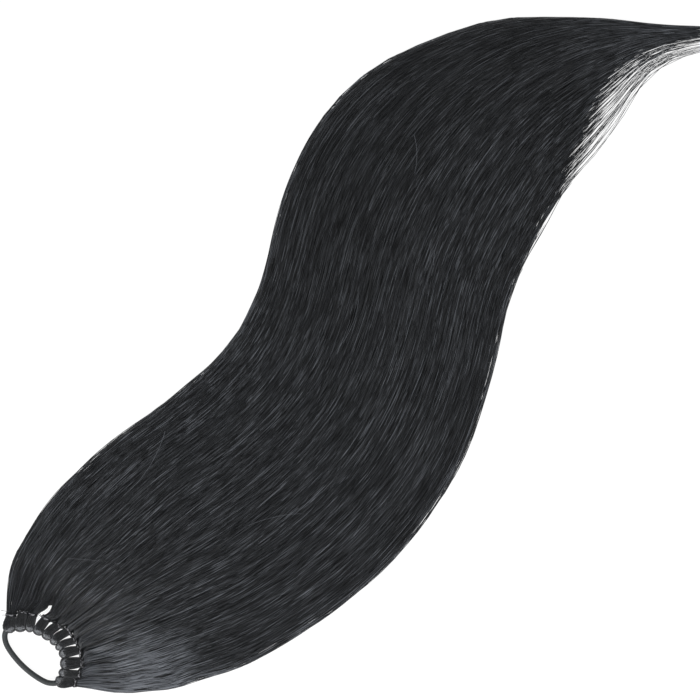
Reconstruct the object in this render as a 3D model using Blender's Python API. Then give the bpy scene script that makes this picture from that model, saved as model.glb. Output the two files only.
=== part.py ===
"""Straight ponytail hairpiece lying on a table: a closed elastic, eleven bundles of hair folded over its
front half, a thread binding on each bundle's neck, and the fall of hair that the bundles run into."""

import bisect
import math
from typing import NamedTuple

import bmesh
import bpy
from mathutils import Vector

# Driving sizes, in metres

# The elastic: a closed loop, longer across the hair than along it
CORD_DIAMETER = 0.0036
LOOP_HALF_WIDTH = 0.0240
LOOP_FRONT_DEPTH = 0.0164
KNOTTED_SHARE = 0.570
KNOTTED_START = -0.021
CORD_DROOP = 2.2

# The folded bundles, each pulled round the elastic and bound at its neck
STRAP_THICKNESS = 0.0015
NECK_FULLNESS = 0.82
NECK_TAPER = 0.0038
THREAD_THICKNESS = 0.0005
BINDING_LENGTH = 0.0017
BINDING_ROUNDNESS = 0.7
CORD_CLEARANCE = 0.00035
PIECE_CLEARANCE = 0.0003

# The fall of hair
HAIR_LENGTH = 0.610
FALL_HALF_WIDTH = 0.0888
FALL_HEIGHT = 0.016
EDGE_HEIGHT = 0.0014
EDGE_CROWN_SHARE = 0.6
EDGE_ROUNDNESS = 0.62
EDGE_NARROWNESS = 2.4
LOCK_JOIN = 0.0185
LOCK_NECK_ROUNDING = 0.45
LOCK_CUTS = 2
PARTING_LOCK = 3
PARTING_LENGTH = 0.0067

# How finely the round and curved pieces are cut
CORD_STATIONS = 72
STRAP_SIDES = 8
FOLD_STEPS = 6
BINDING_STEPS = 12
LOCK_COLUMNS = 3
FALL_STATIONS = 42
STATION_GROWTH = 1.45
SPINE_STEPS = 400
ROUTE_STEPS = 40


class LoopPoint(NamedTuple):
    """A point of the elastic: ahead as a share of its front depth, and left as a share of its half width."""

    ahead: float
    left: float


LOOP_ROUTE = (
    LoopPoint(-0.06, 0.95),
    LoopPoint(0.32, 0.79),
    LoopPoint(0.63, 0.59),
    LoopPoint(0.87, 0.23),
    LoopPoint(1.00, -0.15),
    LoopPoint(0.93, -0.50),
    LoopPoint(0.56, -0.82),
    LoopPoint(0.06, -0.98),
    LoopPoint(-0.28, -0.82),
    LoopPoint(-0.51, -0.40),
    LoopPoint(-0.60, 0.17),
    LoopPoint(-0.50, 0.68),
    LoopPoint(-0.30, 0.89),
)


class Bundle(NamedTuple):
    """One bundle of hair: its share of the knotted stretch beside an even one, which way its hair leaves the
    elastic, in degrees to the left, and how far out the middle of its binding is."""

    share: float
    heading: float
    reach: float


BUNDLES = (
    Bundle(1.18, 42, 0.0081),
    Bundle(1.13, 39, 0.0094),
    Bundle(0.86, 34, 0.0080),
    Bundle(1.05, 15, 0.0086),
    Bundle(1.02, 2, 0.0092),
    Bundle(0.90, -7, 0.0102),
    Bundle(0.76, -20, 0.0100),
    Bundle(0.96, -29, 0.0098),
    Bundle(1.17, -38, 0.0102),
    Bundle(0.87, -47, 0.0096),
    Bundle(1.02, -49, 0.0094),
)


class Bend(NamedTuple):
    """Where along the fall's middle line, as a share of its length, and which way it heads, in degrees."""

    along: float
    heading: float


BENDS = (
    Bend(0.00, 0),
    Bend(0.08, -6),
    Bend(0.16, -8),
    Bend(0.26, -5),
    Bend(0.35, 7),
    Bend(0.435, 24),
    Bend(0.52, 34),
    Bend(0.61, 22),
    Bend(0.71, 6),
    Bend(0.805, -13),
    Bend(0.90, -33),
    Bend(1.00, -43),
)


class Section(NamedTuple):
    """A cut across the fall. loop is the share of the elastic's own curve left in it, gather is how much
    closer the inner locks run than the outer ones, left and right are shares of the half width, height is
    a share of the full height, and ridge is the share of the height that the grooves between locks take."""

    along: float
    loop: float
    gather: float
    left: float
    right: float
    height: float
    ridge: float


SECTIONS = (
    Section(0.000, 1.00, 1.7, 0.000, 0.000, 0.39, 0.70),
    Section(0.014, 0.88, 1.7, 0.151, 0.143, 0.42, 0.62),
    Section(0.027, 0.76, 1.7, 0.284, 0.273, 0.48, 0.50),
    Section(0.040, 0.65, 1.6, 0.404, 0.395, 0.54, 0.34),
    Section(0.055, 0.53, 1.5, 0.505, 0.511, 0.62, 0.24),
    Section(0.072, 0.41, 1.4, 0.598, 0.606, 0.71, 0.17),
    Section(0.096, 0.28, 1.3, 0.701, 0.726, 0.80, 0.12),
    Section(0.122, 0.17, 1.2, 0.782, 0.804, 0.88, 0.09),
    Section(0.170, 0.04, 1.1, 0.870, 0.935, 0.97, 0.06),
    Section(0.217, 0.00, 1.0, 0.897, 0.980, 1.00, 0.04),
    Section(0.300, 0.00, 1.0, 0.901, 0.999, 1.00, 0.03),
    Section(0.385, 0.00, 1.0, 0.884, 0.969, 0.98, 0.03),
    Section(0.460, 0.00, 1.0, 0.857, 0.920, 0.95, 0.03),
    Section(0.520, 0.00, 1.0, 0.840, 0.891, 0.93, 0.03),
    Section(0.600, 0.00, 1.0, 0.867, 0.896, 0.90, 0.03),
    Section(0.650, 0.00, 1.0, 0.844, 0.882, 0.86, 0.03),
    Section(0.697, 0.00, 1.0, 0.752, 0.846, 0.80, 0.04),
    Section(0.745, 0.00, 1.0, 0.589, 0.794, 0.72, 0.05),
    Section(0.793, 0.00, 1.0, 0.438, 0.703, 0.61, 0.07),
    Section(0.841, 0.00, 1.0, 0.261, 0.545, 0.48, 0.09),
    Section(0.889, 0.00, 1.0, 0.138, 0.272, 0.33, 0.11),
    Section(0.937, 0.00, 1.0, 0.050, 0.085, 0.20, 0.12),
    Section(1.000, 0.00, 1.0, 0.018, 0.030, 0.10, 0.12),
)

# Sizes worked out from the driving ones

CORD_RADIUS = CORD_DIAMETER / 2
STRAP_PATH_RADIUS = CORD_RADIUS + CORD_CLEARANCE + STRAP_THICKNESS / 2
KNOT_COUNT = len(BUNDLES)
TOTAL_SHARE = sum(bundle.share for bundle in BUNDLES)
KNOT_HEIGHT = STRAP_PATH_RADIUS + STRAP_THICKNESS / 2
LEG_OFFSET = (STRAP_THICKNESS + PIECE_CLEARANCE) / 2
NECK_HALF_LENGTH = BINDING_LENGTH / 2 + PIECE_CLEARANCE
SPINE_LENGTH = HAIR_LENGTH + LOOP_FRONT_DEPTH
UP = Vector((0, 0, 1))


def lerp(a, b, t):
    return a + (b - a) * t


def ease(t):
    """0 below 0, 1 above 1, and smooth between."""
    t = min(1.0, max(0.0, t))
    return t * t * (3 - 2 * t)


def along_table(rows, at):
    """The row at this share of the length, each column read from a smooth curve through the rows."""
    index = 0
    while index < len(rows) - 2 and at > rows[index + 1].along:
        index += 1
    low, high = rows[index], rows[index + 1]
    before = rows[max(index - 1, 0)]
    after = rows[min(index + 2, len(rows) - 1)]
    span = high.along - low.along
    t = (at - low.along) / span
    values = []
    for a, b, c, d in zip(before, low, high, after):
        slope_in = (c - a) / (high.along - before.along)
        slope_out = (d - b) / (after.along - low.along)
        values.append(
            (2 * t**3 - 3 * t**2 + 1) * b
            + (t**3 - 2 * t**2 + t) * span * slope_in
            + (3 * t**2 - 2 * t**3) * c
            + (t**3 - t**2) * span * slope_out
        )
    return type(low)(*values)


# The elastic's curve

def route_point(index):
    point = LOOP_ROUTE[index % len(LOOP_ROUTE)]
    return Vector((LOOP_FRONT_DEPTH * point.ahead, LOOP_HALF_WIDTH * point.left, 0))


def cord_height(ahead):
    """The elastic's middle is held high by the knots, and droops to the table behind them."""
    return lerp(KNOT_HEIGHT, CORD_RADIUS, ease(-CORD_DROOP * ahead / LOOP_FRONT_DEPTH))


def between(p0, p1, p2, p3, t):
    """A point from p1, at t 0, to p2, at t 1, on a smooth curve through all four."""
    t1 = (p1 - p0).length ** 0.5
    t2 = t1 + (p2 - p1).length ** 0.5
    t3 = t2 + (p3 - p2).length ** 0.5
    at = lerp(t1, t2, t)
    a1 = p0.lerp(p1, at / t1)
    a2 = p1.lerp(p2, (at - t1) / (t2 - t1))
    a3 = p2.lerp(p3, (at - t2) / (t3 - t2))
    b1 = a1.lerp(a2, at / t2)
    b2 = a2.lerp(a3, (at - t1) / (t3 - t1))
    return b1.lerp(b2, (at - t1) / (t2 - t1))


def loop_points():
    """The elastic's middle line as many short steps, with the length up to each."""
    points = []
    for index in range(len(LOOP_ROUTE)):
        corners = [route_point(index + shift) for shift in (-1, 0, 1, 2)]
        points += [between(*corners, step / ROUTE_STEPS) for step in range(ROUTE_STEPS)]
    for point in points:
        point.z = cord_height(point.x)
    points.append(points[0])
    lengths = [0.0]
    for a, b in zip(points, points[1:]):
        lengths.append(lengths[-1] + (b - a).length)
    return points, lengths


LOOP_POINTS, LOOP_LENGTHS = loop_points()
LOOP_LENGTH = LOOP_LENGTHS[-1]
KNOTTED_LENGTH = KNOTTED_SHARE * LOOP_LENGTH


def loop_point(length):
    """The point of the elastic's middle line this far round it from its left end, by the front."""
    length %= LOOP_LENGTH
    index = bisect.bisect_right(LOOP_LENGTHS, length) - 1
    part = (length - LOOP_LENGTHS[index]) / (LOOP_LENGTHS[index + 1] - LOOP_LENGTHS[index])
    return LOOP_POINTS[index].lerp(LOOP_POINTS[index + 1], part)


def knotted_point(length):
    """The elastic's point this far along its knotted stretch."""
    return loop_point(KNOTTED_START * LOOP_LENGTH + length)


# The flow of the hair

def spine_points():
    """(position, heading) at even steps along the fall's middle line, from the middle of the elastic."""
    step = SPINE_LENGTH / SPINE_STEPS
    at = Vector((0, 0, 0))
    found = []
    for i in range(SPINE_STEPS + 1):
        heading = math.radians(along_table(BENDS, i / SPINE_STEPS).heading)
        found.append((at.copy(), heading))
        at += step * Vector((math.cos(heading), math.sin(heading), 0))
    return found


SPINE = spine_points()


def flow_point(distance, across):
    """The point on the table under the hair, distance along the fall and across from -1, right, to 1, left."""
    share = min(max(distance / SPINE_LENGTH, 0.0), 1.0)
    index = min(int(share * SPINE_STEPS), SPINE_STEPS - 1)
    part = share * SPINE_STEPS - index
    (a, heading_a), (b, heading_b) = SPINE[index], SPINE[index + 1]
    heading = lerp(heading_a, heading_b, part)
    ahead = Vector((math.cos(heading), math.sin(heading), 0))
    aside = Vector((-math.sin(heading), math.cos(heading), 0))
    cut = along_table(SECTIONS, share)
    root = knotted_point((1 - across) / 2 * KNOTTED_LENGTH)
    spread = abs(across) ** cut.gather
    even = math.copysign(FALL_HALF_WIDTH * (cut.left + cut.right) / 2, across)
    odd = FALL_HALF_WIDTH * (cut.left - cut.right) / 2
    sideways = cut.loop * root.y + even * spread + odd * spread**2
    return a.lerp(b, part) + aside * sideways + ahead * (cut.loop * root.x)


def top_height(distance, across):
    """How high the fall stands above the table there, without its grooves."""
    crown = FALL_HEIGHT * along_table(SECTIONS, min(distance / SPINE_LENGTH, 1.0)).height
    fullness = max(0.0, 1 - abs(across) ** EDGE_NARROWNESS) ** EDGE_ROUNDNESS
    return lerp(min(EDGE_HEIGHT, EDGE_CROWN_SHARE * crown), crown, fullness)


# Building with bmesh

def finished(name, bm, material):
    """Makes the object of this bmesh, with smooth round faces and sharp edges kept."""
    bmesh.ops.recalc_face_normals(bm, faces=bm.faces)
    mesh = bpy.data.meshes.new(name)
    bm.to_mesh(mesh)
    bm.free()
    mesh.shade_smooth()
    mesh.set_sharp_from_angle(angle=math.radians(50))
    mesh.materials.append(material)
    obj = bpy.data.objects.new(name, mesh)
    bpy.context.scene.collection.objects.link(obj)
    return obj


def extrude_cap(bm, cap, points):
    """Extrudes the end face to these points, in the order of its corners, and returns the new end face."""
    new = bmesh.ops.extrude_discrete_faces(bm, faces=[cap])["faces"][0]
    for vert, point in zip(new.verts, points):
        vert.co = point
    return new


def loft(bm, rings):
    """A body through these rings of points, closed at both ends. Returns its last face."""
    start = bm.faces.new([bm.verts.new(point) for point in rings[0]])
    cap = start.copy()
    start.normal_flip()
    for ring in rings[1:]:
        cap = extrude_cap(bm, cap, ring)
    bmesh.ops.remove_doubles(bm, verts=bm.verts, dist=1e-7)
    return cap


def plain_material(name, colour, roughness):
    material = bpy.data.materials.new(name)
    material.use_nodes = True
    shader = material.node_tree.nodes["Principled BSDF"]
    shader.inputs["Base Color"].default_value = (*colour, 1)
    shader.inputs["Roughness"].default_value = roughness
    shader.inputs["Metallic"].default_value = 0.0
    return material


# The pieces

def make_elastic(material):
    """The closed elastic, held high by the knots in front and drooping to the table behind."""
    curve = bpy.data.curves.new("elastic_loop", "CURVE")
    curve.dimensions = "3D"
    curve.bevel_depth = CORD_RADIUS
    curve.bevel_resolution = 3
    spline = curve.splines.new("POLY")
    spline.points.add(CORD_STATIONS - 1)
    spline.use_cyclic_u = True
    for index, point in enumerate(spline.points):
        point.co = (*loop_point(LOOP_LENGTH * index / CORD_STATIONS), 1)
    curve.materials.append(material)
    obj = bpy.data.objects.new("elastic_loop", curve)
    bpy.context.scene.collection.objects.link(obj)
    return obj


class Seat(NamedTuple):
    """Where one bundle sits: its middle's length along the knotted elastic, and the way its hair leaves."""

    length: float
    out: Vector
    side: Vector


def lock_edges():
    """Across values of the edges of the locks, from the hair's left to its right."""
    edges = [1.0]
    for bundle in BUNDLES:
        edges.append(edges[-1] - 2 * bundle.share / TOTAL_SHARE)
    return edges


LOCK_EDGES = lock_edges()


def seat_of(index):
    across = (LOCK_EDGES[index] + LOCK_EDGES[index + 1]) / 2
    heading = math.radians(BUNDLES[index].heading)
    out = Vector((math.cos(heading), math.sin(heading), 0))
    return Seat((1 - across) / 2 * KNOTTED_LENGTH, out, UP.cross(out))


SEATS = [seat_of(index) for index in range(KNOT_COUNT)]


def neck_start(index):
    """How far from the elastic's middle line the legs of a bundle come together."""
    return BUNDLES[index].reach - NECK_HALF_LENGTH


def neck_end(index):
    return BUNDLES[index].reach + NECK_HALF_LENGTH


def strap_point(index, outward, upward, sideways):
    """A point of a bundle, square to the elastic where the bundle wraps it, and along its hair at the neck."""
    seat = SEATS[index]
    length = seat.length - sideways
    travel = knotted_point(length + CORD_RADIUS / 4) - knotted_point(length - CORD_RADIUS / 4)
    travel.z = 0
    wrapped = knotted_point(length) + UP.cross(travel).normalized() * outward
    gathered = knotted_point(seat.length) + seat.side * sideways + seat.out * outward
    point = wrapped.lerp(gathered, ease(outward / neck_start(index)))
    point.z = KNOT_HEIGHT + upward
    return point


def fold_width(index):
    """The width of the fold along the elastic: the bundle's own share, less the gap to its neighbour."""
    return KNOTTED_LENGTH * BUNDLES[index].share / TOTAL_SHARE - PIECE_CLEARANCE


def neck_width(index):
    """The width of a gathered neck: a share of its fold, or what room its neighbours' bindings leave."""
    rooms = []
    for beside in (index - 1, index + 1):
        if not 0 <= beside < KNOT_COUNT:
            continue
        for outward in (neck_start(index), neck_start(beside)):
            gap = strap_point(index, outward, 0, 0) - strap_point(beside, outward, 0, 0)
            rooms.append(gap.length - 3 * PIECE_CLEARANCE - 2 * THREAD_THICKNESS)
    return min(NECK_FULLNESS * fold_width(index), *rooms)


def strap_path(index):
    """(outward, upward, way, width) along a bundle: out of the neck, round the elastic and back."""
    full, neck, start = fold_width(index), neck_width(index), neck_start(index)
    fold = []
    for step in range(FOLD_STEPS + 1):
        angle = math.pi * (0.5 + step / FOLD_STEPS)
        fold.append((STRAP_PATH_RADIUS * math.cos(angle), STRAP_PATH_RADIUS * math.sin(angle), full))
    leg = []
    for outward in (neck_end(index), start, start - NECK_TAPER / 2, start - NECK_TAPER):
        narrow = ease((outward - start + NECK_TAPER) / NECK_TAPER)
        drop = lerp(STRAP_PATH_RADIUS, LEG_OFFSET, ease(outward / start))
        leg.append((outward, drop, lerp(full, neck, narrow)))
    rows = leg + fold + [(outward, -upward, width) for outward, upward, width in reversed(leg)]
    path = []
    for i, (outward, upward, width) in enumerate(rows):
        before, after = rows[max(i - 1, 0)], rows[min(i + 1, len(rows) - 1)]
        way = Vector((after[0] - before[0], after[1] - before[1])).normalized()
        if i in (0, len(rows) - 1):
            way = Vector((-1 if i == 0 else 1, 0))
        path.append((outward, upward, way, width))
    return path


def make_knot(index, material):
    """One bundle of hair folded over the elastic, both legs ending at the neck."""
    rings = []
    for outward, upward, way, width in strap_path(index):
        ring = []
        for i in range(STRAP_SIDES):
            angle = 2 * math.pi * (i + 0.5) / STRAP_SIDES
            lift = STRAP_THICKNESS / 2 * math.sin(angle)
            sideways = width / 2 * math.cos(angle)
            ring.append(strap_point(index, outward - way.y * lift, upward + way.x * lift, sideways))
        rings.append(ring)
    bm = bmesh.new()
    loft(bm, rings)
    return finished(f"knot_{index + 1:02d}", bm, material)


def make_binding(index, material):
    """The thread wound round both legs of a bundle, just before its hair spreads."""
    seat = SEATS[index]
    middle = strap_point(index, BUNDLES[index].reach, 0, 0)
    thread_room = PIECE_CLEARANCE + THREAD_THICKNESS / 2
    half_width = neck_width(index) / 2 + thread_room
    half_height = LEG_OFFSET + STRAP_THICKNESS / 2 + thread_room
    half = BINDING_LENGTH / 2
    profile = (
        (-half, 0.0),
        (-half / 2, THREAD_THICKNESS / 2),
        (0.0, THREAD_THICKNESS / 5),
        (half / 2, THREAD_THICKNESS / 2),
        (half, 0.0),
        (0.0, -THREAD_THICKNESS / 2),
    )
    bm = bmesh.new()
    rings = []
    for step in range(BINDING_STEPS):
        angle = 2 * math.pi * step / BINDING_STEPS
        outer = seat.side * math.cos(angle) + UP * math.sin(angle)
        aside = math.copysign(abs(math.cos(angle)) ** BINDING_ROUNDNESS, math.cos(angle))
        lift = math.copysign(abs(math.sin(angle)) ** BINDING_ROUNDNESS, math.sin(angle))
        centre = middle + seat.side * half_width * aside + UP * half_height * lift
        rings.append([bm.verts.new(centre + seat.out * a + outer * b) for a, b in profile])
    for ring, after in zip(rings, rings[1:] + rings[:1]):
        for i in range(len(profile)):
            j = (i + 1) % len(profile)
            bm.faces.new((ring[i], ring[j], after[j], after[i]))
    return finished(f"binding_{index + 1:02d}", bm, material)


def station_distances():
    """Distances of the fall's cuts from the elastic's middle, close together at the locks."""
    reach = SPINE_LENGTH - LOCK_JOIN
    return [LOCK_JOIN + reach * (i / FALL_STATIONS) ** STATION_GROWTH for i in range(FALL_STATIONS + 1)]


def column_across(column):
    """Across value of a column of the fall: some to each lock, the first of them in the groove before it."""
    lock, step = divmod(column, LOCK_COLUMNS)
    if lock == KNOT_COUNT:
        return LOCK_EDGES[-1]
    return lerp(LOCK_EDGES[lock], LOCK_EDGES[lock + 1], step / LOCK_COLUMNS)


def column_distance(column, distance):
    """The front cuts run back into the fall at the parting, where two locks stay apart for longer."""
    if column != PARTING_LOCK * LOCK_COLUMNS:
        return distance
    return distance + PARTING_LENGTH * max(0.0, 1 - (distance - LOCK_JOIN) / (3 * PARTING_LENGTH))


def fall_ring(distance):
    """One cut of the fall: over the top from left to right, then back along the table at each groove."""
    last = KNOT_COUNT * LOCK_COLUMNS
    ridge = along_table(SECTIONS, distance / SPINE_LENGTH).ridge
    ring = []
    for column in range(last + 1):
        across = column_across(column)
        back = column_distance(column, distance)
        in_groove = column % LOCK_COLUMNS == 0 and 0 < column < last
        height = top_height(back, across) * (1 - ridge if in_groove else 1)
        ring.append(flow_point(back, across) + UP * height)
    for column in range(last, -1, -LOCK_COLUMNS):
        ring.append(flow_point(column_distance(column, distance), column_across(column)))
    return ring


def lock_caps(front):
    """Splits the front face of the fall into one face for each lock, from left to right."""
    corners = list(front.verts)
    last_top = KNOT_COUNT * LOCK_COLUMNS
    caps, rest = [], front
    for lock in range(1, KNOT_COUNT):
        left_corner = corners[(lock - 1) * LOCK_COLUMNS]
        top, bottom = corners[lock * LOCK_COLUMNS], corners[last_top + 1 + KNOT_COUNT - lock]
        new, _ = bmesh.utils.face_split(rest, top, bottom)
        left, rest = (new, rest) if left_corner in new.verts else (rest, new)
        caps.append(left)
    return caps + [rest]


def lock_ring(index, corners, share):
    """A lock's end face on its way from the front of the fall, at share 0, to its neck, at share 1."""
    seat = SEATS[index]
    centre = strap_point(index, neck_end(index) + PIECE_CLEARANCE, 0, 0)
    middle = sum(corners, Vector()) / len(corners)
    widest = max(abs((corner - middle).dot(seat.side)) for corner in corners)
    ring = []
    for corner in corners:
        sideways = (corner - middle).dot(seat.side) / widest
        upward = 1 if corner.z > 0 else -1
        height = (LEG_OFFSET + STRAP_THICKNESS / 2) * upward * (1 - LOCK_NECK_ROUNDING * abs(sideways))
        neck = centre + seat.side * (neck_width(index) / 2 * sideways) + UP * height
        ring.append(corner.lerp(neck, share))
    return ring


def make_fall(material):
    """The fall of hair, lofted from its ends to the front, where each lock is drawn out to its neck."""
    bm = bmesh.new()
    front = loft(bm, [fall_ring(distance) for distance in reversed(station_distances())])
    for index, cap in enumerate(lock_caps(front)):
        corners = [vert.co.copy() for vert in cap.verts]
        for cut in range(1, LOCK_CUTS + 1):
            cap = extrude_cap(bm, cap, lock_ring(index, corners, cut / LOCK_CUTS))
    return finished("hair_fall", bm, material)


def extent(pieces):
    """The lowest and highest corner of the box round these pieces."""
    bpy.context.view_layer.update()
    graph = bpy.context.evaluated_depsgraph_get()
    points = []
    for piece in pieces:
        shaped = piece.evaluated_get(graph)
        points += [vert.co.copy() for vert in shaped.to_mesh().vertices]
        shaped.to_mesh_clear()
    low = Vector([min(point[axis] for point in points) for axis in range(3)])
    high = Vector([max(point[axis] for point in points) for axis in range(3)])
    return low, high


def main():
    for obj in list(bpy.data.objects):
        bpy.data.objects.remove(obj)
    hair = plain_material("black_hair", (0.018, 0.019, 0.022), 0.42)
    rubber = plain_material("elastic_cover", (0.03, 0.032, 0.034), 0.7)
    thread = plain_material("binding_thread", (0.012, 0.012, 0.014), 0.6)
    pieces = [make_elastic(rubber), make_fall(hair)]
    for index in range(KNOT_COUNT):
        pieces.append(make_knot(index, hair))
        pieces.append(make_binding(index, thread))

    # The origin is on the table, under the middle of the whole hairpiece
    low, high = extent(pieces)
    whole = bpy.data.objects.new("hairpiece", None)
    bpy.context.scene.collection.objects.link(whole)
    whole.location = (-(low.x + high.x) / 2, -(low.y + high.y) / 2, -low.z)
    for piece in pieces:
        piece.parent = whole


main()
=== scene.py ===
"""Dresses the ponytail hairpiece: strands, knotted bundles, thread bindings and a knitted elastic."""

import math
from typing import NamedTuple

import bmesh
import bpy
import numpy as np
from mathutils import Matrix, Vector


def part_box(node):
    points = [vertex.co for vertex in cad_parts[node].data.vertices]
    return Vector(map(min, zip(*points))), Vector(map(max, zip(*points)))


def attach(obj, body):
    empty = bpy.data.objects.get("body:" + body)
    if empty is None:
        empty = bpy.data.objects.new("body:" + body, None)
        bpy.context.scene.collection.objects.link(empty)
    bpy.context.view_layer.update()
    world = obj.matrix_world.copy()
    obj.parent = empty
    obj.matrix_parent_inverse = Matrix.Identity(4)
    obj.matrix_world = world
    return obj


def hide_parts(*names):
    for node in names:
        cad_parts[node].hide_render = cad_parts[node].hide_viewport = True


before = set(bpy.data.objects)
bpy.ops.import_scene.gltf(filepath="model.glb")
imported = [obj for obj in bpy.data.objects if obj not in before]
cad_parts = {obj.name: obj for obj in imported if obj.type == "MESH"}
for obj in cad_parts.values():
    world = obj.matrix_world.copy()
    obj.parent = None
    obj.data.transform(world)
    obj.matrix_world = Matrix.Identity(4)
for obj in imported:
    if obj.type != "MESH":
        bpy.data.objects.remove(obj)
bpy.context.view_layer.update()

# Sizes of the hairpiece, in metres, with the elastic's middle at 0, 0 and the hair running along X

CORD_RADIUS = 0.0018
LOOP_HALF_WIDTH = 0.0240
LOOP_FRONT_DEPTH = 0.0164
KNOTTED_SHARE = 0.570
KNOTTED_START = -0.021
CORD_DROOP = 2.2
STRAP_THICKNESS = 0.0015
STRAP_PATH_RADIUS = CORD_RADIUS + 0.00035 + STRAP_THICKNESS / 2
KNOT_HEIGHT = STRAP_PATH_RADIUS + STRAP_THICKNESS / 2
LEG_OFFSET = 0.0009
NECK_FULLNESS = 0.82
NECK_TAPER = 0.0026
THREAD_THICKNESS = 0.0005
BINDING_LENGTH = 0.0017
BINDING_ROUNDNESS = 0.7
PIECE_CLEARANCE = 0.0003
LOCK_JOIN = 0.0185
SPINE_LENGTH = 0.6264
FALL_HALF_WIDTH = 0.0888
FALL_HEIGHT = 0.016
EDGE_HEIGHT = 0.0014
EDGE_ROUNDNESS = 0.62
EDGE_NARROWNESS = 2.4
PARTING_LOCK = 3
PARTING_END = 0.0340
PARTING_SWAY = 0.075
PARTING_HALF_WIDTH = 0.0014
WIDTH_AT_PARTING = 0.045
SPINE_STEPS = 400
ROUTE_STEPS = 40


class LoopPoint(NamedTuple):
    """A point of the elastic: ahead as a share of its front depth, left as a share of its half width."""

    ahead: float
    left: float


LOOP_ROUTE = (
    LoopPoint(-0.06, 0.95),
    LoopPoint(0.32, 0.79),
    LoopPoint(0.63, 0.59),
    LoopPoint(0.87, 0.23),
    LoopPoint(1.00, -0.15),
    LoopPoint(0.93, -0.50),
    LoopPoint(0.56, -0.82),
    LoopPoint(0.06, -0.98),
    LoopPoint(-0.28, -0.82),
    LoopPoint(-0.51, -0.40),
    LoopPoint(-0.60, 0.17),
    LoopPoint(-0.50, 0.68),
    LoopPoint(-0.30, 0.89),
)


class Bundle(NamedTuple):
    """One bundle of hair: its share of the knotted stretch beside an even one, which way its hair leaves
    the elastic, in degrees to the left, and how far out the middle of its binding is."""

    share: float
    heading: float
    reach: float


BUNDLES = (
    Bundle(1.18, 42, 0.0081),
    Bundle(1.13, 39, 0.0094),
    Bundle(0.86, 34, 0.0080),
    Bundle(1.05, 15, 0.0086),
    Bundle(1.02, 2, 0.0092),
    Bundle(0.90, -7, 0.0102),
    Bundle(0.76, -20, 0.0100),
    Bundle(0.96, -29, 0.0098),
    Bundle(1.17, -38, 0.0102),
    Bundle(0.87, -47, 0.0096),
    Bundle(1.02, -49, 0.0094),
)
KNOT_COUNT = len(BUNDLES)


class Bend(NamedTuple):
    """A place along the fall's middle line, as a share of its length, and its heading there, in degrees."""

    along: float
    heading: float


BENDS = (
    Bend(0.00, 0),
    Bend(0.08, -6),
    Bend(0.16, -8),
    Bend(0.26, -5),
    Bend(0.35, 7),
    Bend(0.435, 24),
    Bend(0.52, 34),
    Bend(0.61, 22),
    Bend(0.71, 6),
    Bend(0.805, -13),
    Bend(0.90, -33),
    Bend(1.00, -43),
)


class Section(NamedTuple):
    """A cut across the fall. loop is the share of the elastic's own curve that is left in it, gather is how
    much closer the inner locks run than the outer ones, left and right are shares of the half width,
    height is a share of the full height, and ridge is the share that the grooves between locks take off."""

    along: float
    loop: float
    gather: float
    left: float
    right: float
    height: float
    ridge: float


SECTIONS = (
    Section(0.000, 1.00, 1.7, 0.000, 0.000, 0.39, 0.70),
    Section(0.014, 0.88, 1.7, 0.151, 0.143, 0.42, 0.62),
    Section(0.027, 0.76, 1.7, 0.284, 0.273, 0.48, 0.50),
    Section(0.040, 0.65, 1.6, 0.404, 0.395, 0.54, 0.34),
    Section(0.055, 0.53, 1.5, 0.505, 0.511, 0.62, 0.24),
    Section(0.072, 0.41, 1.4, 0.598, 0.606, 0.71, 0.17),
    Section(0.096, 0.28, 1.3, 0.701, 0.726, 0.80, 0.12),
    Section(0.122, 0.17, 1.2, 0.782, 0.804, 0.88, 0.09),
    Section(0.170, 0.04, 1.1, 0.870, 0.935, 0.97, 0.06),
    Section(0.217, 0.00, 1.0, 0.897, 0.980, 1.00, 0.04),
    Section(0.300, 0.00, 1.0, 0.901, 0.999, 1.00, 0.03),
    Section(0.385, 0.00, 1.0, 0.884, 0.969, 0.98, 0.03),
    Section(0.460, 0.00, 1.0, 0.857, 0.920, 0.95, 0.03),
    Section(0.520, 0.00, 1.0, 0.840, 0.891, 0.93, 0.03),
    Section(0.600, 0.00, 1.0, 0.867, 0.896, 0.90, 0.03),
    Section(0.650, 0.00, 1.0, 0.844, 0.882, 0.86, 0.03),
    Section(0.697, 0.00, 1.0, 0.752, 0.846, 0.80, 0.04),
    Section(0.745, 0.00, 1.0, 0.589, 0.794, 0.72, 0.05),
    Section(0.793, 0.00, 1.0, 0.438, 0.703, 0.61, 0.07),
    Section(0.841, 0.00, 1.0, 0.261, 0.545, 0.48, 0.09),
    Section(0.889, 0.00, 1.0, 0.138, 0.272, 0.33, 0.11),
    Section(0.937, 0.00, 1.0, 0.050, 0.085, 0.20, 0.12),
    Section(1.000, 0.00, 1.0, 0.018, 0.030, 0.10, 0.12),
)


class TipSpread(NamedTuple):
    """How the hair thins out on its right towards the tip, in half widths from its middle line: dense is
    the edge of the dense hair, and fringe is the edge of the loose strands past it."""

    along: float
    dense: float
    fringe: float


TIP_SPREADS = (
    TipSpread(0.60, 0.896, 0.900),
    TipSpread(0.65, 0.880, 0.892),
    TipSpread(0.70, 0.832, 0.868),
    TipSpread(0.745, 0.765, 0.828),
    TipSpread(0.79, 0.662, 0.781),
    TipSpread(0.82, 0.555, 0.733),
    TipSpread(0.85, 0.410, 0.652),
    TipSpread(0.88, 0.245, 0.530),
    TipSpread(0.90, 0.165, 0.395),
    TipSpread(0.93, 0.095, 0.245),
    TipSpread(0.96, 0.055, 0.170),
    TipSpread(1.00, 0.035, 0.115),
)


class LooseEnd(NamedTuple):
    """A short loose end beside or between the knots, straight from place to place, all at one height."""

    start_ahead: float
    start_left: float
    end_ahead: float
    end_left: float
    height: float
    width: float


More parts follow.
